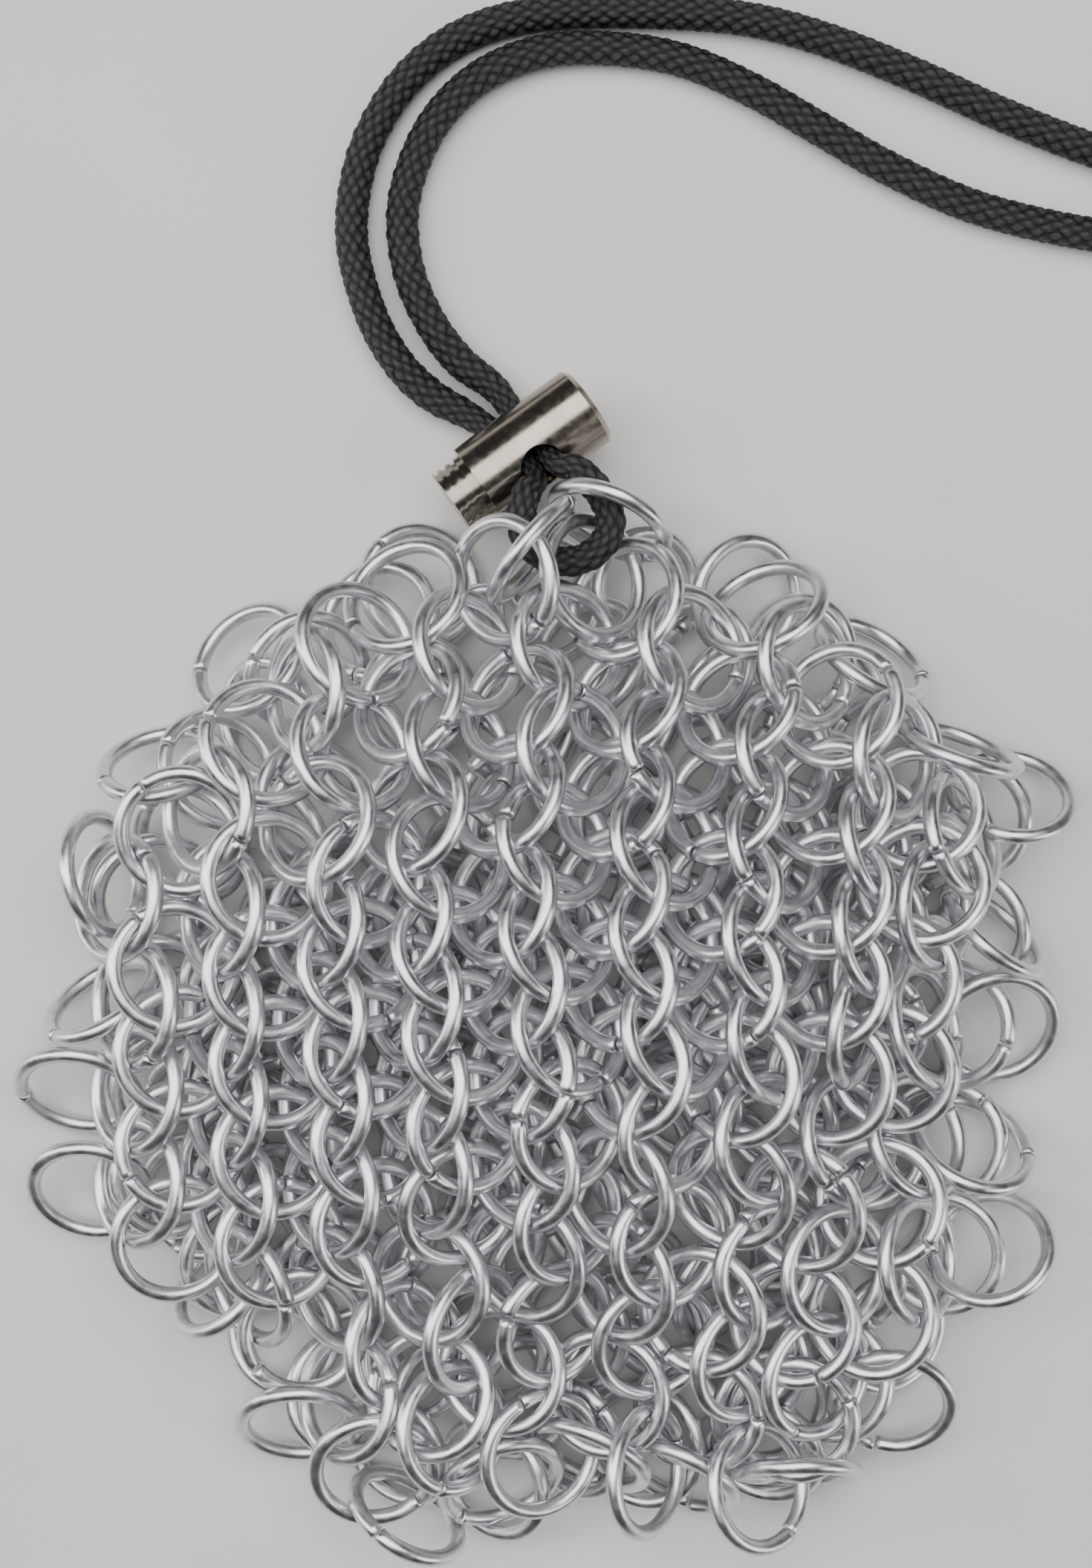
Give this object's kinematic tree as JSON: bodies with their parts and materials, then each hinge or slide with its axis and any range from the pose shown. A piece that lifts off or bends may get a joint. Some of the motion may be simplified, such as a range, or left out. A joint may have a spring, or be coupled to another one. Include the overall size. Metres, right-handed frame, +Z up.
{
  "type": "chain mail drawstring pouch",
  "caption": "Round flat pouch of interlinked metal rings, gathered at the mouth by a braided cord with a spring-loaded cylindrical cord lock.",
  "frame": {"origin": "middle of the box of the pouch and its cord lock, on the surface the pouch lies on", "axes": "+Y towards the mouth, +X to the right seen from the front face, +Z up out of the front face"},
  "size_m": [0.1441, 0.1608, 0.0228],
  "materials": {
    "mail": "bright drawn wire",
    "lock": "polished dark nickel",
    "spring": "plain wire",
    "cord": "braided"
  },
  "bodies": {
    "pouch": {"front_row_01": "mail", "front_row_02": "mail", "front_row_03": "mail", "front_row_04": "mail", "front_row_05": "mail", "front_row_06": "mail", "front_row_07": "mail", "front_row_08": "mail", "front_row_09": "mail", "front_row_10": "mail", "front_row_11": "mail", "front_row_12": "mail", "front_row_13": "mail", "front_row_14": "mail", "front_row_15": "mail", "front_row_16": "mail", "front_row_17": "mail", "front_row_18": "mail", "back_row_01": "mail", "back_row_02": "mail", "back_row_03": "mail", "back_row_04": "mail", "back_row_05": "mail", "back_row_06": "mail", "back_row_07": "mail", "back_row_08": "mail", "back_row_09": "mail", "back_row_10": "mail", "back_row_11": "mail", "back_row_12": "mail", "back_row_13": "mail", "back_row_14": "mail", "back_row_15": "mail", "back_row_16": "mail", "back_row_17": "mail", "back_row_18": "mail", "edge_rings_left": "mail", "edge_rings_right": "mail", "edge_rings_bottom": "mail", "mouth_rings": "mail", "lock_barrel": "lock", "lock_spring": "spring", "drawstring_loop": "cord", "drawstring_strand_outer": "cord", "drawstring_strand_inner": "cord", "drawstring_knot": "cord"},
    "plunger": {"lock_plunger": "lock"}
  },
  "joints": [
    {"name": "plunger_press", "type": "slide", "parent": "pouch", "child": "plunger", "axis": [0.809, 0.5878, 0], "range_m": [0, 0.0018], "stiffness_N_per_m": 400, "springref_m": -0.003, "deforming": ["lock_spring"]}
  ]
}
